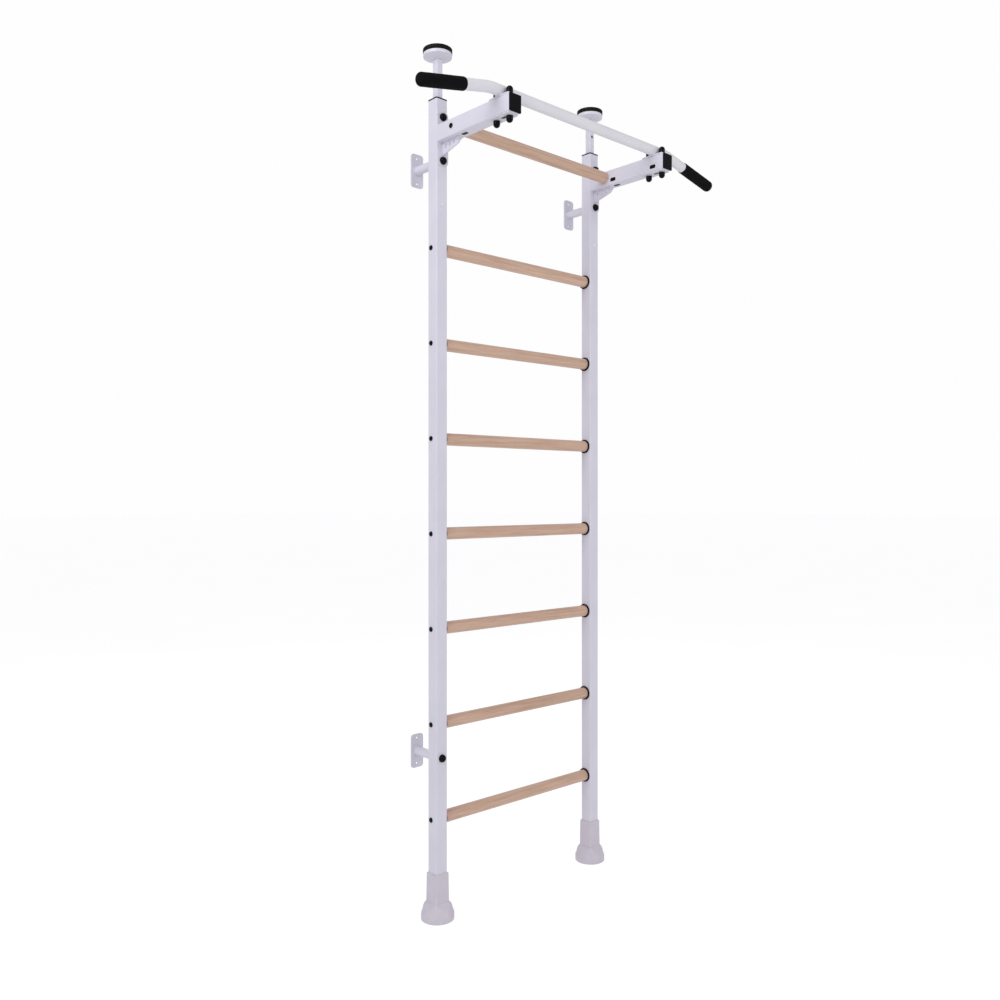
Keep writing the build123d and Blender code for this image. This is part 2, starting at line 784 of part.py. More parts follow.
# Ceiling jacks
for name, side in SIDES:
    save(build_jack_stem(side), f"{name}_jack_stem")
    save(build_jack_guide(side), f"{name}_jack_guide")
    save(build_jack_nut(side), f"{name}_jack_nut")
    save(build_jack_spindle(side), f"{name}_jack_spindle")
    save(build_jack_dish(side), f"{name}_jack_dish")
    save(build_ceiling_pad(side), f"{name}_ceiling_pad")
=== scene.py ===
import bmesh
import bpy
import json
import math
import random
from mathutils import Euler, Matrix, Vector, noise


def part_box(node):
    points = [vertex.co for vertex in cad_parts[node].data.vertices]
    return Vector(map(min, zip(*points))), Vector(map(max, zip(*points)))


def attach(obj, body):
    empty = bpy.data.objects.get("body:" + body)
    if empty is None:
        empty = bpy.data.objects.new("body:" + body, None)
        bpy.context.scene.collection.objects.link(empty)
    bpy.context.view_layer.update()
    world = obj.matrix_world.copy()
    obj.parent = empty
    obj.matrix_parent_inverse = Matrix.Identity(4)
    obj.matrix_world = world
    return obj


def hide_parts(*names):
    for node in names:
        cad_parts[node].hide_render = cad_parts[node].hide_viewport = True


# Floor-to-ceiling wall-bar ladder with a front pull-up bar. Metres, in the row frame: -Y is the front.
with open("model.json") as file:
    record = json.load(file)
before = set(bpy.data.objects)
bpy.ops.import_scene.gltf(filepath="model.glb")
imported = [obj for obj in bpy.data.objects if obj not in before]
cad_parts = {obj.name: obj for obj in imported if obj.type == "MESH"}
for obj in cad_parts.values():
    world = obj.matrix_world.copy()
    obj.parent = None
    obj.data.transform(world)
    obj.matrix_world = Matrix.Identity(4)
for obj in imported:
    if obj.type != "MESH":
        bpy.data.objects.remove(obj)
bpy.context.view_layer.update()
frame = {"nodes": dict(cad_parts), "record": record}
nodes = frame["nodes"]

MM = 0.001
SIDES = (("left", -1), ("right", 1))
LADDER_RUNGS = [name for name in sorted(nodes) if name.startswith("rung_") and name[5:].isdigit()]
BRACKETS = [name for name in sorted(nodes) if name.endswith("_wall_plate")]

# Sizes that the CAD boxes don't give
ROUND_STEPS = 96
BAR_SLOPE = math.radians(12)
BAR_BEND_X = 363 * MM
BAR_BEND_RADIUS = 150 * MM
BAR_END_X = 587 * MM
BAR_WALL = 2 * MM
GRIP_START_X = 448 * MM
GRIP_END_THICKNESS = 5 * MM
RUNG_HOLE_RADIUS = 6 * MM
RUNG_HOLE_DEPTH = 30 * MM
SCREW_PITCH = 3 * MM
SCREW_THREAD_DEPTH = 1.25 * MM
BOOT_RIM_TOP = 17 * MM
BOOT_FLARE_TOP = 50 * MM
BOOT_HALF_LOW = 23.5 * MM
BOOT_HALF_TOP = 22.5 * MM
BOOT_CORNER_LOW = 3.4 * MM
BOOT_CORNER_TOP = 3.0 * MM
PAD_THICKNESS = 13 * MM
PAD_PIN_RADIUS = 4 * MM
PAD_GROOVE_RADII = (34, 27, 20, 13)
SADDLE_THICKNESS = 4 * MM
CRADLE_HALF = 12 * MM
GUSSET_HALF = 2 * MM
GUSSET_WELD_SPANS = ((4, 18), (30, 44), (54, 66))
STUB_RADIUS = 12.5 * MM

# The studio
FLOOR_RADII = (0.5, 2, 6, 20, 60)
CAMERA_PLACE = (-1.9867, -1.9571, 1.1805)
CAMERA_YAW = math.radians(-42.71)
CAMERA_LENS = 34.243
CAMERA_SHIFT = -0.0051


def middle(node):
    low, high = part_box(node)
    return (low + high) / 2


# Node trees

def add_node(tree, kind, values=None, links=None, **attributes):
    made = tree.nodes.new(kind)
    for key, value in attributes.items():
        setattr(made, key, value)
    for key, value in (values or {}).items():
        made.inputs[key].default_value = value
    for key, output in (links or {}).items():
        tree.links.new(output, made.inputs[key])
    return made


def new_surface(name, **sockets):
    """A material and its tree, shader and object coordinates. Keywords are the shader's own sockets."""
    material = bpy.data.materials.new(name)
    material.use_nodes = True
    tree = material.node_tree
    shader = tree.nodes["Principled BSDF"]
    for key, value in sockets.items():
        shader.inputs[key.replace("_", " ").title().replace("Ior", "IOR")].default_value = value
    place = add_node(tree, "ShaderNodeTexCoord").outputs["Object"]
    return material, tree, shader, place


def stretched(tree, place, scale, turn=0.0, shift=(0, 0, 0)):
    values = {"Scale": scale, "Rotation": (turn, 0, 0), "Location": shift}
    return add_node(tree, "ShaderNodeMapping", values, {"Vector": place}).outputs["Vector"]


def clouds(tree, place, scale, detail=3.0, roughness=0.5, distortion=0.0):
    values = {"Scale": scale, "Detail": detail, "Roughness": roughness, "Distortion": distortion}
    return add_node(tree, "ShaderNodeTexNoise", values, {"Vector": place}).outputs["Fac"]


def ramp(tree, factor, *stops):
    made = add_node(tree, "ShaderNodeValToRGB", None, {"Fac": factor})
    elements = made.color_ramp.elements
    while len(elements) < len(stops):
        elements.new(0.5)
    for element, (position, colour) in zip(elements, stops):
        element.position = position
        element.color = (*colour, 1.0)
    return made.outputs["Color"]


def spread(tree, factor, low, high, start=0.0, end=1.0):
    """The factor's range from start to end, carried to low and high."""
    values = {"From Min": start, "From Max": end, "To Min": low, "To Max": high}
    return add_node(tree, "ShaderNodeMapRange", values, {"Value": factor}).outputs["Result"]


def maths(tree, operation, first, second):
    made = add_node(tree, "ShaderNodeMath", operation=operation)
    for socket, value in zip(made.inputs, (first, second)):
        if isinstance(value, (int, float)):
            socket.default_value = value
        else:
            tree.links.new(value, socket)
    return made.outputs["Value"]


def mix_colours(tree, factor, first, second):
    made = add_node(tree, "ShaderNodeMix", data_type="RGBA")
    tree.links.new(factor, made.inputs[0])
    for socket, value in ((made.inputs[6], first), (made.inputs[7], second)):
        if isinstance(value, tuple):
            socket.default_value = (*value, 1.0)
        else:
            tree.links.new(value, socket)
    return made.outputs[2]


def bump(tree, shader, height, distance, strength=1.0, normal=None):
    links = {"Height": height}
    if normal is not None:
        links["Normal"] = normal
    made = add_node(tree, "ShaderNodeBump", {"Strength": strength, "Distance": distance}, links)
    tree.links.new(made.outputs["Normal"], shader.inputs["Normal"])
    return made.outputs["Normal"]


def eased_edges(tree, radius):
    """(normal that rounds sharp edges, mask that is 1 on them)"""
    rounded = add_node(tree, "ShaderNodeBevel", {"Radius": radius}, samples=4).outputs["Normal"]
    plain = add_node(tree, "ShaderNodeNewGeometry").outputs["Normal"]
    links = {0: rounded, 1: plain}
    match = add_node(tree, "ShaderNodeVectorMath", None, links, operation="DOT_PRODUCT").outputs["Value"]
    return rounded, spread(tree, match, 1.0, 0.0, 0.80, 0.995)


# Materials

def powder_coat(name, dark, light):
    """White powder coat with a cool tint: orange peel, faint cloudiness, and a painted highlight that makes
    the edges lighter in patches.
    """
    material, tree, shader, place = new_surface(
        name, coat_weight=0.2, coat_roughness=0.2, specular_ior_level=0.4
    )
    cloud = clouds(tree, place, 14.0, 4.0)
    tint = ramp(tree, cloud, (0.35, dark), (0.65, light))
    rounded, edge = eased_edges(tree, 0.7 * MM)
    # painted highlight: sharp edges are mixed in patches towards a lighter colour, as if light caught them
    painted_edge_highlight = maths(tree, "MULTIPLY", edge, spread(tree, clouds(tree, place, 90.0), 0.10, 0.42, 0.35, 0.7))
    colour = mix_colours(tree, painted_edge_highlight, tint, (0.82, 0.80, 0.88))
    tree.links.new(colour, shader.inputs["Base Color"])
    tree.links.new(spread(tree, clouds(tree, place, 60.0), 0.30, 0.46), shader.inputs["Roughness"])
    peel = clouds(tree, place, 620.0, 1.5, 0.4)
    bump(tree, shader, peel, 0.05 * MM, 0.55, rounded)
    return material


def beech(name, seed):
    """Varnished beech with its grain along X: fibres, growth rings, and short dark ray flecks."""
    chance = random.Random(seed)
    turn = chance.uniform(0, math.tau)
    shift = tuple(chance.uniform(-3, 3) for _ in range(3))
    material, tree, shader, place = new_surface(name, coat_weight=0.35, coat_roughness=0.22)
    fibres = clouds(tree, stretched(tree, place, (9, 150, 150), turn, shift), 1.0, 6.0, 0.62)
    tone = clouds(tree, stretched(tree, place, (2.2, 14, 14), turn, shift), 1.0, 2.0)
    bands = {"Scale": 38.0, "Distortion": 5.5, "Detail": 3.0, "Detail Scale": 0.5, "Phase Offset": turn}
    along = stretched(tree, place, (0.12, 1, 1), turn, shift)
    rings = add_node(
        tree, "ShaderNodeTexWave", bands, {"Vector": along}, bands_direction="Z", wave_profile="SAW"
    ).outputs["Fac"]
    grain = maths(tree, "ADD", maths(tree, "MULTIPLY", fibres, 0.60), maths(tree, "MULTIPLY", rings, 0.09))
    grain = maths(tree, "ADD", grain, maths(tree, "MULTIPLY", tone, 0.31))
    wood = ramp(
        tree, grain,
        (0.30, (0.768, 0.528, 0.402)),
        (0.50, (0.655, 0.428, 0.312)),
        (0.72, (0.475, 0.282, 0.194)),
    )
    flecks = clouds(tree, stretched(tree, place, (330, 2300, 2300), turn), 1.0, 1.0)
    fleck_mask = spread(tree, flecks, 0.0, 0.50, 0.63, 0.74)
    tree.links.new(mix_colours(tree, fleck_mask, wood, (0.36, 0.20, 0.13)), shader.inputs["Base Color"])
    tree.links.new(spread(tree, fibres, 0.36, 0.54), shader.inputs["Roughness"])
    pores = maths(tree, "SUBTRACT", fibres, maths(tree, "MULTIPLY", fleck_mask, 0.6))
    bump(tree, shader, pores, 0.06 * MM, 0.5)
    return material


def foam():
    """Closed-cell foam sleeve: matt, near black, finely pitted."""
    material, tree, shader, place = new_surface(
        "black_foam", specular_ior_level=0.10
    )
    cloud = clouds(tree, place, 70.0, 4.0)
    tree.links.new(
        ramp(tree, cloud, (0.3, (0.0034, 0.0034, 0.0042)), (0.7, (0.0066, 0.0066, 0.0080))),
        shader.inputs["Base Color"],
    )
    cells = add_node(tree, "ShaderNodeTexVoronoi", {"Scale": 1500.0}, {"Vector": place}).outputs["Distance"]
    tree.links.new(spread(tree, cloud, 0.78, 0.95), shader.inputs["Roughness"])
    bump(tree, shader, cells, 0.25 * MM, 0.6)
    return material


def moulded(name, dark, light, roughness, grain_scale, grain_depth, edge_radius=0.4, **sockets):
    """Moulded plastic or rubber with a fine spark-eroded grain."""
    material, tree, shader, place = new_surface(name, **sockets)
    cloud = clouds(tree, place, 40.0, 4.0)
    tree.links.new(ramp(tree, cloud, (0.3, dark), (0.7, light)), shader.inputs["Base Color"])
    low, high = roughness
    tree.links.new(spread(tree, clouds(tree, place, 110.0), low, high, 0.3, 0.7), shader.inputs["Roughness"])
    rounded, _ = eased_edges(tree, edge_radius * MM)
    bump(tree, shader, clouds(tree, place, grain_scale, 2.0), grain_depth * MM, 0.6, rounded)
    return material


def zinc():
    """Bright zinc plate: a bluish passivated film with drawn lines."""
    material, tree, shader, place = new_surface("zinc_steel", metallic=1.0)
    film = clouds(tree, place, 160.0, 4.0)
    bluish, bright, yellowish = (0.50, 0.52, 0.55), (0.62, 0.63, 0.66), (0.66, 0.64, 0.60)
    colour = ramp(tree, film, (0.3, bluish), (0.55, bright), (0.75, yellowish))
    tree.links.new(colour, shader.inputs["Base Color"])
    tree.links.new(spread(tree, film, 0.22, 0.42, 0.3, 0.7), shader.inputs["Roughness"])
    rounded, _ = eased_edges(tree, 0.3 * MM)
    bump(tree, shader, clouds(tree, stretched(tree, place, (300, 300, 2400)), 1.0), 0.02 * MM, 0.5, rounded)
    return material


# painted light: the bar is the frame's own powder coat, given a lighter, more neutral copy because it catches
# more light
BAR_PAINTED_LIGHTER_COAT = powder_coat("bar_powder_coat_painted_lighter", (0.800, 0.792, 0.842), (0.828, 0.820, 0.868))
MATERIALS = {
    "white_powder_coat": powder_coat("white_powder_coat", (0.740, 0.722, 0.822), (0.770, 0.752, 0.852)),
    "black_foam": foam(),
    "white_rubber": moulded(
        "white_rubber", (0.660, 0.612, 0.690), (0.695, 0.648, 0.725), (0.42, 0.56), 900.0, 0.05, 0.6,
        subsurface_weight=0.08, subsurface_scale=0.004,
    ),
    "black_rubber": moulded(
        "black_rubber", (0.0036, 0.0036, 0.0044), (0.0075, 0.0075, 0.0086), (0.55, 0.72), 1200.0, 0.08,
        specular_ior_level=0.14,
    ),
    "black_plastic": moulded(
        "black_plastic", (0.0022, 0.0022, 0.0032), (0.0038, 0.0038, 0.0054), (0.11, 0.20), 1500.0, 0.03,
        specular_ior_level=0.11,
    ),
    "white_plastic": moulded(
        "white_plastic", (0.80, 0.80, 0.84), (0.86, 0.86, 0.90), (0.28, 0.38), 900.0, 0.03
    ),
    "zinc_steel": zinc(),
}
SLOT_OF = {row["node"]: row["material_slot"] for row in frame["record"]["subparts"]}
RUNG_NODES = LADDER_RUNGS + ["arm_rung"]
WOODS = {name: beech(f"beech_{name}", seed) for seed, name in enumerate(RUNG_NODES, start=5)}

for node_name, cad_object in nodes.items():
    cad_object.data.materials.clear()
    cad_object.data.materials.append(WOODS.get(node_name) or MATERIALS[SLOT_OF[node_name]])


# Mesh tools

def place_piece(name, mesh, material, body, crease=math.radians(38)):
    """Turns a bmesh into a piece that rides on a body: smooth, but sharp where faces turn past the crease."""
    bmesh.ops.recalc_face_normals(mesh, faces=mesh.faces)
    for face in mesh.faces:
        face.smooth = True
    for edge in mesh.edges:
        edge.smooth = edge.calc_face_angle(0.0) < crease
    data = bpy.data.meshes.new(name)
    mesh.to_mesh(data)
    mesh.free()
    piece = bpy.data.objects.new(name, data)
    bpy.context.scene.collection.objects.link(piece)
    data.materials.append(material)
    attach(piece, body)
    return piece


def add_skin(mesh, rings, wrap=False):
    """Adds a closed skin through equal rings of points. Its ends are capped, or joined if it wraps."""
    loops = [[mesh.verts.new(point) for point in ring] for ring in rings]
    pairs = list(zip(loops, loops[1:]))
    if wrap:
        pairs.append((loops[-1], loops[0]))
    for first, second in pairs:
        for i in range(len(first)):
            mesh.faces.new((first[i - 1], first[i], second[i], second[i - 1]))
    if not wrap:
        for loop in (loops[0], loops[-1]):
            centre = mesh.verts.new(sum((vert.co for vert in loop), Vector()) / len(loop))
            for i in range(len(loop)):
                mesh.faces.new((loop[i - 1], loop[i], centre))


def arc(centre, radii, start, end, steps):
    """Points of an elliptical arc as (radius, height) pairs, angles in degrees from the radius axis."""
    points = []
    for i in range(steps + 1):
        angle = math.radians(start + (end - start) * i / steps)
        points.append((centre[0] + radii[0] * math.cos(angle), centre[1] + radii[1] * math.sin(angle)))
    return points


def turned_rings(profile, placed, steps=ROUND_STEPS):
    """Rings of a solid of revolution: (radius, height) pairs turned about the placed matrix's Z."""
    rings = []
    for radius, height in profile:
        ring = []
        for i in range(steps):
            angle = math.tau * i / steps
            ring.append(placed @ Vector((radius * math.cos(angle), radius * math.sin(angle), height)))
        rings.append(ring)
    return rings


def turned_piece(name, profile, placed, material, body, steps=ROUND_STEPS):
    mesh = bmesh.new()
    add_skin(mesh, turned_rings(profile, placed, steps))
    return place_piece(name, mesh, material, body)


def level_point(centre, reach, angle, z):
    """Point at a height z, at a reach and an angle from an upright axis."""
    return Vector((centre.x + reach * math.cos(angle), centre.y + reach * math.sin(angle), z))


def axis_matrix(origin, direction):
    """Matrix whose Z is the direction, at the origin."""
    turn = Vector(direction).to_track_quat("Z", "Y").to_matrix().to_4x4()
    return Matrix.Translation(origin) @ turn


# Wooden rungs, with eased ends and the blind holes for their inserts

def build_rung(node):
    low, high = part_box(node)
    half = (high.x - low.x) / 2
    radius = (high.z - low.z) / 2
    ease = 1.2 * MM
    floor = half - RUNG_HOLE_DEPTH
    right_end = [(RUNG_HOLE_RADIUS * 0.2, floor), (RUNG_HOLE_RADIUS, floor), (RUNG_HOLE_RADIUS, half)]
    right_end += [(radius - ease, half)]
    right_end += arc((radius - ease, half - ease), (ease, ease), 75, 0, 4)
    left_end = [(r, -height) for r, height in reversed(right_end)]
    waist = [(radius, half * (1 - 2 * i / 24)) for i in range(1, 24)]
    placed = axis_matrix(middle(node), (1, 0, 0))
    profile = right_end + waist + left_end
    piece = turned_piece(f"turned_{node}", profile, placed, WOODS[node], "frame")
    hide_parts(node)


for rung in RUNG_NODES:
    build_rung(rung)


# Pull-up bar: a bent tube, open inside

bar_low, bar_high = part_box("pull_up_bar")
bar_radius = (bar_high.y - bar_low.y) / 2
bar_y = (bar_low.y + bar_high.y) / 2
bar_z = bar_high.z - bar_radius


def bar_route():
    """Centreline points with their directions, from the left end to the right end."""
    tangent = BAR_BEND_RADIUS * math.tan(BAR_SLOPE / 2)
    bend_start = BAR_BEND_X - tangent
    straight = [(Vector((bend_start * i / 12, bar_y, bar_z)), 0.0) for i in range(1, 12)]
    bend = []
    for i in range(13):
        angle = BAR_SLOPE * i / 12
        x = bend_start + BAR_BEND_RADIUS * math.sin(angle)
        bend.append((Vector((x, bar_y, bar_z - BAR_BEND_RADIUS * (1 - math.cos(angle)))), angle))
    bend_end = bend[-1][0]
    drop = Vector((math.cos(BAR_SLOPE), 0, -math.sin(BAR_SLOPE)))
    reach = (BAR_END_X - bend_end.x) / math.cos(BAR_SLOPE)
    slope = [(bend_end + drop * reach * i / 10, BAR_SLOPE) for i in range(1, 11)]
    right = straight + bend + slope
    left = [(Vector((-p.x, p.y, p.z)), -angle) for p, angle in reversed(right)]
    return left + [(Vector((0, bar_y, bar_z)), 0.0)] + right


def bar_ring(point, angle, radius):
    turn = Matrix.Rotation(angle, 4, "Y")
    across = [Vector((0, math.cos(math.tau * i / ROUND_STEPS), math.sin(math.tau * i / ROUND_STEPS)))
              for i in range(ROUND_STEPS)]
    return [point + turn @ (a * radius) for a in across]


def build_bar():
    route = bar_route()
    outer = [bar_ring(point, angle, bar_radius) for point, angle in route]
    inner = [bar_ring(point, angle, bar_radius - BAR_WALL) for point, angle in reversed(route)]
    mesh = bmesh.new()
    add_skin(mesh, outer + inner, wrap=True)
    # the bar takes the lighter copy of the powder coat, which is painted light
    piece = place_piece("bent_pull_up_bar", mesh, BAR_PAINTED_LIGHTER_COAT, "frame")
    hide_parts("pull_up_bar")


build_bar()


# Foam grips: sleeves with a rounded outer end and a soft lip inwards

def build_grip(name, side):
    low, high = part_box(f"{name}_grip")
    radius = (high.y - low.y) / 2
    length = (BAR_END_X - GRIP_START_X) / math.cos(BAR_SLOPE)
    drop = (GRIP_START_X - BAR_BEND_X) * math.tan(BAR_SLOPE)
    start = Vector((side * GRIP_START_X, bar_y, bar_z - drop))
    placed = axis_matrix(start, (side * math.cos(BAR_SLOPE), 0, -math.sin(BAR_SLOPE)))
    end = length + GRIP_END_THICKNESS
    end_round = 10 * MM
    lip = 2.6 * MM
    lip_length = 4.5 * MM
    profile = [(bar_radius * 0.3, length), (bar_radius * 0.7, length), (bar_radius, length)]
    profile += [(bar_radius, length * (1 - i / 12)) for i in range(1, 12)]
    profile += [(bar_radius, 0.6 * MM)]
    profile += arc((radius - lip, lip_length), (lip, lip_length), -90, 0, 8)
    body_steps = 60
    body_start, body_end = lip_length, end - end_round
    for i in range(1, body_steps):
        profile.append((radius, body_start + (body_end - body_start) * i / body_steps))
    profile += arc((radius - end_round, body_end), (end_round, end_round), 0, 90, 12)
    profile += [(radius - end_round - 3.5 * MM, end), (1.5 * MM, end)]
    rings = turned_rings(profile, placed, 120)
    unit = (placed.to_3x3() @ Vector((0, 0, 1))).normalized()
    swelled = []
    for ring in rings:
        moved = []
        for point in ring:
            away = point - start
            along = away.dot(unit)
            outward = away - unit * along
            if outward.length > bar_radius + 0.5 * MM and 2 * MM < along < end - 1 * MM:
                ripple = 0.22 * MM * noise.noise(point * 55) + 0.10 * MM * noise.noise(point * 420)
                point = point + outward.normalized() * (ripple - 0.12 * MM)
            moved.append(point)
        swelled.append(moved)
    mesh = bmesh.new()
    add_skin(mesh, swelled)
    piece = place_piece(f"{name}_foam_grip", mesh, MATERIALS["black_foam"], "frame")
    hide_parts(f"{name}_grip")


for side_name, side_sign in SIDES:
    build_grip(side_name, side_sign)


# Boots: a square socket that grows out of a round, ribbed foot

def squircle(half, corner, angle):
    """Distance from the middle to the edge of a rounded square, in the direction of the angle."""
    turned = angle % (math.pi / 2)
    turned = min(turned, math.pi / 2 - turned)
    c, s = math.cos(turned), math.sin(turned)
    flat = half - corner
    if half * s / c <= flat:
        return half / c
    reach = flat * (c + s)
    return reach + math.sqrt(reach * reach - 2 * flat * flat + corner * corner)


def build_boot(name):
    steps = 192
    low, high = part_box(f"{name}_boot")
    centre = (low + high) / 2
    post_low, post_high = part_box(f"{name}_post")
    foot = (high.x - low.x) / 2
    top = high.z
    socket = (post_high.x - post_low.x) / 2 + 0.05 * MM
    socket_floor = post_low.z
    flare_top, rim_top = BOOT_FLARE_TOP, BOOT_RIM_TOP
    waist, collar = BOOT_HALF_LOW, BOOT_HALF_TOP
    corner_low, corner_top = BOOT_CORNER_LOW, BOOT_CORNER_TOP
    # rows of (height, half width, corner radius), the corner being the whole half width where it is round
    rows = [(0.0, 3 * MM, 3 * MM)]
    groove_depth = 1.6
    for start in (14, 22, 30):
        groove = ((0, 0.0), (1.2, groove_depth), (3.4, groove_depth), (4.6, 0.0))
        for across, height in groove:
            rows.append((height * MM, (start + across) * MM, (start + across) * MM))
    edge = 3.2 * MM
    rows += [(z, r, r) for r, z in arc((foot - edge, edge), (edge, edge), -90, 0, 6)]
    rows.append((rim_top * 0.6, foot, foot))
    flare_steps = 24
    for i in range(flare_steps + 1):
        t = i / flare_steps
        z = rim_top + (flare_top - rim_top) * t
        half = foot + (waist + 0.8 * MM - foot) * (0.30 * t + 0.70 * t ** 1.9)
        sharpness = max(0.0, (t - 0.30) / 0.70)
        corner = half + (corner_low - half) * sharpness ** 1.4
        rows.append((z, half, corner))
    rows.append((flare_top + 0.3 * MM, waist, corner_low))
    for t in (0.04, 0.3, 0.6, 0.9):
        z = flare_top + (top - flare_top) * t
        rows.append((z, waist + (collar - waist) * t, corner_low + (corner_top - corner_low) * t))
    rows.append((top - 1.6 * MM, collar, corner_top))
    rows.append((top, collar - 1.5 * MM, corner_top))
    rows.append((top, socket + 0.5 * MM, corner_top))
    rows.append((top - 0.6 * MM, socket, corner_top))
    rows.append((socket_floor, socket, corner_top))
    rows.append((socket_floor, socket * 0.2, corner_top))
    rings = []
    for z, half, corner in rows:
        angles = [math.tau * i / steps for i in range(steps)]
        reaches = [squircle(half, min(corner, half), angle) for angle in angles]
        rings.append([level_point(centre, reach, angle, z) for reach, angle in zip(reaches, angles)])
    mesh = bmesh.new()
    add_skin(mesh, rings)
    piece = place_piece(f"{name}_moulded_boot", mesh, MATERIALS["white_rubber"], "frame")
    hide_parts(f"{name}_boot")


for side_name, _ in SIDES:
    build_boot(side_name)


# Jack spindles with their trapezoidal thread

def build_spindle(name):
    low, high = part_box(f"{name}_jack_spindle")
    radius = (high.x - low.x) / 2
    centre = middle(f"{name}_jack_spindle")
    around, per_turn = 40, 14
    count = int((high.z - low.z) / SCREW_PITCH * per_turn)
    rings = []
    for k in range(count + 1):
        z = low.z + (high.z - low.z) * k / count
        ends = min(z - low.z, high.z - z)
        limit = radius - max(0.0, 1.2 * MM - ends)
        ring = []
        for i in range(around):
            phase = ((z - low.z) / SCREW_PITCH - i / around) % 1.0
            slope = min(abs(phase - 0.5) * 2, 1.0)
            crest = min(max((slope - 0.36) / 0.28, 0.0), 1.0)
            reach = min(radius - SCREW_THREAD_DEPTH * (1 - crest), limit)
            ring.append(level_point(centre, reach, math.tau * i / around, z))
        rings.append(ring)
    mesh = bmesh.new()
    add_skin(mesh, rings)
    piece = place_piece(
        f"{name}_threaded_spindle", mesh, MATERIALS["zinc_steel"], f"{name}_dish",
        math.radians(50),
    )
    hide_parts(f"{name}_jack_spindle")


for side_name, _ in SIDES:
    build_spindle(side_name)


# Ceiling pads with ring-shaped grooves on top

def build_pad(name):
    low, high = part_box(f"{name}_ceiling_pad")
    radius = (high.x - low.x) / 2
    pin_tip = low.z - high.z
    under = -PAD_THICKNESS
    pin_radius = PAD_PIN_RADIUS
    pin_ease, low_edge, top_edge = 0.6 * MM, 1.2 * MM, 2 * MM
    groove = 1.0 * MM
    centre = middle(f"{name}_ceiling_pad")
    # heights are measured from the pad's top
    profile = [(pin_radius * 0.3, pin_tip), (pin_radius - pin_ease, pin_tip)]
    profile += [(pin_radius, pin_tip + pin_ease), (pin_radius, under)]
    profile += [(radius * 0.5, under)]
    profile += arc((radius - low_edge, under + low_edge), (low_edge, low_edge), -90, 0, 5)
    profile += arc((radius - top_edge, -top_edge), (top_edge, top_edge), 0, 90, 7)
    for ring_radius in PAD_GROOVE_RADII:
        outer = ring_radius * MM
        profile += [(outer, 0), (outer - 0.8 * MM, -groove), (outer - 2.4 * MM, -groove)]
        profile += [(outer - 3.2 * MM, 0)]
    profile += [(4 * MM, 0)]
    placed = Matrix.Translation((centre.x, centre.y, high.z))
    piece = turned_piece(
        f"{name}_grooved_pad", profile, placed, MATERIALS["black_rubber"], f"{name}_pad"
    )
    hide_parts(f"{name}_ceiling_pad")


for side_name, _ in SIDES:
    build_pad(side_name)


# Weld beads under the paint

def bead_rings(points, radius, closed, seed):
    """Round, rippled rings along a path of points."""
    chance = random.Random(seed)
    sides = 10
    ripple_pitch = 2.1 * MM
    phase = chance.uniform(0, math.tau)
    travelled = 0.0
    rings = []
    last = len(points) - 1
    for i, point in enumerate(points):
        before = points[i - 1] if (i or closed) else point
        after = points[(i + 1) % len(points)] if (i < last or closed) else point
        along = (after - before).normalized()
        across = along.orthogonal() if abs(along.z) > 0.9 else along.cross((0, 0, 1))
        across.normalize()
        upward = along.cross(across)
        travelled += (point - before).length if i else 0.0
        ripple = 0.11 * math.sin(math.tau * travelled / ripple_pitch + phase)
        size = radius * (1 + ripple + 0.10 * noise.noise(point * 120))
        if not closed:
            size *= min(1.0, 0.55 + 0.45 * min(i, last - i) / 3)
        ring = []
        for k in range(sides):
            angle = math.tau * k / sides
            ring.append(point + across * (size * math.cos(angle)) + upward * (size * math.sin(angle)))
        rings.append(ring)
    return rings


def line_points(start, end, step=0.7 * MM):
    start, end = Vector(start), Vector(end)
    count = max(4, round((end - start).length / step))
    return [start.lerp(end, i / count) for i in range(count + 1)]


def circle_points(centre, radius, step=0.7 * MM):
    """Circle about the Y direction."""
    count = round(math.tau * radius / step)
    angles = [math.tau * i / count for i in range(count)]
    return [centre + Vector((radius * math.cos(angle), 0, radius * math.sin(angle))) for angle in angles]


def build_welds(name, paths, radius=1.5 * MM):
    """One piece of separate beads: each path is (points, closed)."""
    mesh = bmesh.new()
    for seed, (points, closed) in enumerate(paths):
        add_skin(mesh, bead_rings(points, radius, closed, seed), wrap=closed)
    place_piece(
        name, mesh, MATERIALS["white_powder_coat"], "frame", math.radians(80)
    )


def build_arm_welds(name):
    tube_low, tube_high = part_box(f"{name}_arm_tube")
    plate_low, plate_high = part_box(f"{name}_arm_plate")
    web_low, web_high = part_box(f"{name}_arm_gusset")
    root = plate_low.y
    web_x = (web_low.x + web_high.x) / 2
    web_half = GUSSET_HALF
    inset = 3 * MM
    start_x = max(tube_low.x, plate_low.x) + inset
    end_x = min(tube_high.x, plate_high.x) - inset
    paths = [(line_points((start_x, root, tube_high.z), (end_x, root, tube_high.z)), False)]
    paths.append((line_points((start_x, root, tube_low.z), (web_x - web_half, root, tube_low.z)), False))
    paths.append((line_points((web_x + web_half, root, tube_low.z), (end_x, root, tube_low.z)), False))
    for sign in (-1, 1):
        x = web_x + sign * web_half
        paths.append((line_points((x, root, web_low.z + 3 * MM), (x, root, web_high.z - 3 * MM)), False))
        for start, end in GUSSET_WELD_SPANS:
            first = (x, root - start * MM, tube_low.z)
            paths.append((line_points(first, (x, root - end * MM, tube_low.z)), False))
    build_welds(f"{name}_arm_welds", paths)


def build_saddle_welds(name):
    low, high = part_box(f"{name}_bar_saddle")
    inset = 2.5 * MM
    paths = []
    for sign in (-1, 1):
        y = bar_y + sign * CRADLE_HALF + sign * 0.3 * MM
        for z in (low.z + SADDLE_THICKNESS, high.z):
            paths.append((line_points((low.x + inset, y, z), (high.x - inset, y, z)), False))
    build_welds(f"{name}_saddle_welds", paths, 1.2 * MM)


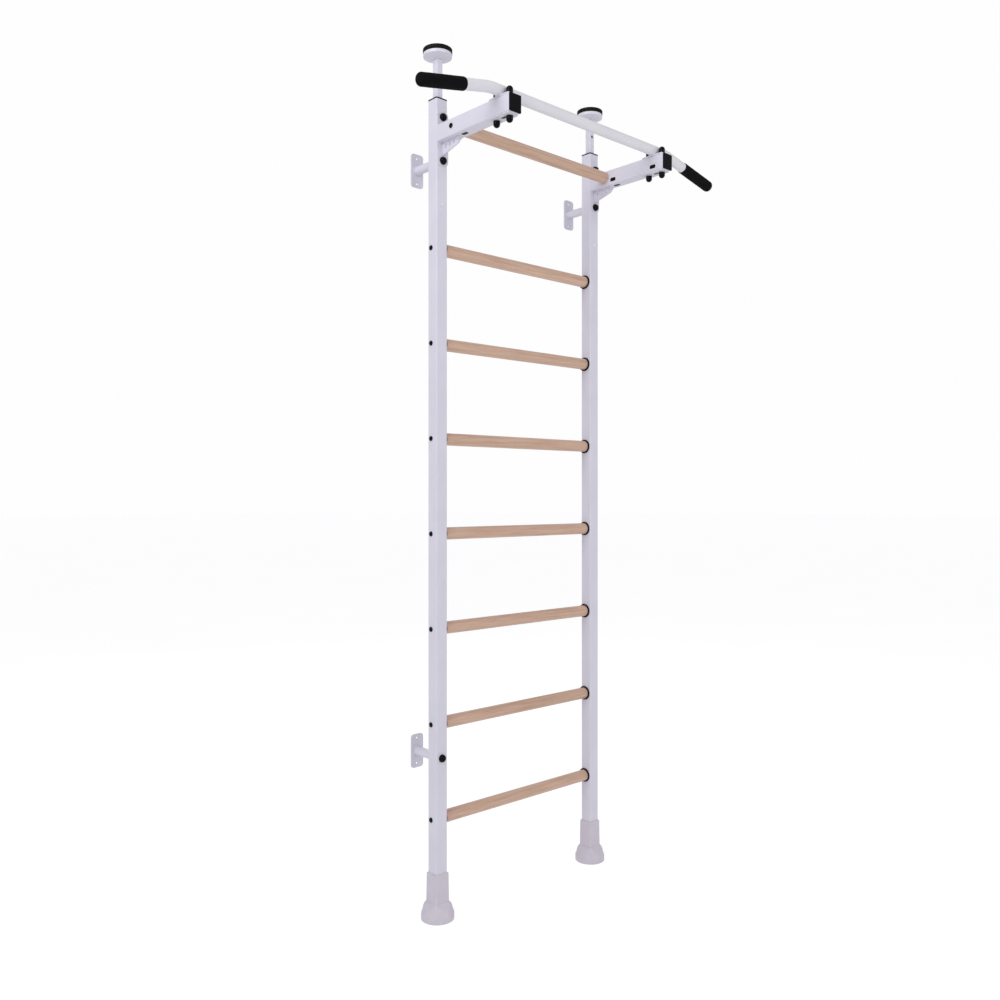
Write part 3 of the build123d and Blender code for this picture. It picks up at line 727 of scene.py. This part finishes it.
def build_bracket_welds(plate):
    low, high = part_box(plate)
    centre = (low + high) / 2
    ring = circle_points(Vector((centre.x, low.y, centre.z)), STUB_RADIUS + 0.4 * MM)
    build_welds(f"{plate}_weld", [(ring, True)], 1.7 * MM)


for side_name, _ in SIDES:
    build_arm_welds(side_name)
    build_saddle_welds(side_name)
for bracket in BRACKETS:
    build_bracket_welds(bracket)


# Stage: a plain pale floor, soft light, and the camera

def build_floor():
    mesh = bmesh.new()
    rings = turned_rings([(radius, 0.0) for radius in FLOOR_RADII], Matrix.Identity(4), 64)
    loops = [[mesh.verts.new(point) for point in ring] for ring in rings]
    for first, second in zip(loops, loops[1:]):
        for i in range(len(first)):
            mesh.faces.new((first[i - 1], first[i], second[i], second[i - 1]))
    mesh.faces.new(loops[0])
    bmesh.ops.recalc_face_normals(mesh, faces=mesh.faces)
    data = bpy.data.meshes.new("floor")
    mesh.to_mesh(data)
    mesh.free()
    floor = bpy.data.objects.new("floor", data)
    bpy.context.scene.collection.objects.link(floor)
    material, tree, shader, place = new_surface(
        "pale_floor", emission_color=(1, 1, 1, 1), specular_ior_level=0.1
    )
    cloud = clouds(tree, place, 1.2, 3.0)
    pale = ramp(tree, cloud, (0.3, (0.42, 0.42, 0.425)), (0.7, (0.44, 0.44, 0.445)))
    tree.links.new(pale, shader.inputs["Base Color"])
    # glows like a lit backdrop, but throws little light up at the object
    seen = add_node(tree, "ShaderNodeLightPath").outputs["Is Camera Ray"]
    tree.links.new(spread(tree, seen, 0.44, 0.75), shader.inputs["Emission Strength"])
    tree.links.new(spread(tree, cloud, 0.62, 0.72), shader.inputs["Roughness"])
    data.materials.append(material)


def build_world():
    """Even soft light all round; the background itself is near white."""
    world = bpy.data.worlds.new("studio")
    world.use_nodes = True
    tree = world.node_tree
    tree.nodes.clear()
    light = add_node(tree, "ShaderNodeBackground", {"Color": (0.96, 0.96, 1.0, 1.0), "Strength": 0.51})
    shown = add_node(tree, "ShaderNodeBackground", {"Color": (1.0, 1.0, 1.0, 1.0), "Strength": 0.99})
    seen = add_node(tree, "ShaderNodeLightPath").outputs["Is Camera Ray"]
    links = {0: seen, 1: light.outputs["Background"], 2: shown.outputs["Background"]}
    mixed = add_node(tree, "ShaderNodeMixShader", None, links)
    add_node(tree, "ShaderNodeOutputWorld", None, {"Surface": mixed.outputs["Shader"]})
    bpy.context.scene.world = world


def add_softbox(name, place, aim, width, height, power, colour=(1.0, 1.0, 1.0)):
    data = bpy.data.lights.new(name, "AREA")
    data.shape = "RECTANGLE"
    data.size = width
    data.size_y = height
    data.energy = power
    data.color = colour
    light = bpy.data.objects.new(name, data)
    light.location = place
    light.rotation_euler = (Vector(aim) - Vector(place)).to_track_quat("-Z", "Y").to_euler()
    bpy.context.scene.collection.objects.link(light)


def build_camera():
    data = bpy.data.cameras.new("camera")
    data.sensor_width = 36.0
    data.lens = CAMERA_LENS
    data.shift_y = CAMERA_SHIFT
    camera = bpy.data.objects.new("camera", data)
    camera.location = CAMERA_PLACE
    camera.rotation_euler = Euler((math.radians(90), 0, CAMERA_YAW))
    bpy.context.scene.collection.objects.link(camera)
    bpy.context.scene.camera = camera


build_floor()
build_world()
add_softbox("key_from_the_left", (-3.4, -0.6, 3.6), (0, 0, 1.7), 2.4, 2.4, 56)
add_softbox("fill_from_the_front", (0.6, -4.2, 2.6), (0, 0, 1.7), 2.6, 2.6, 34)
add_softbox("lift_from_behind", (1.5, 3.6, 3.4), (0, 0, 1.6), 2.4, 2.4, 20)
build_camera()
bpy.context.scene.view_settings.view_transform = "Standard"
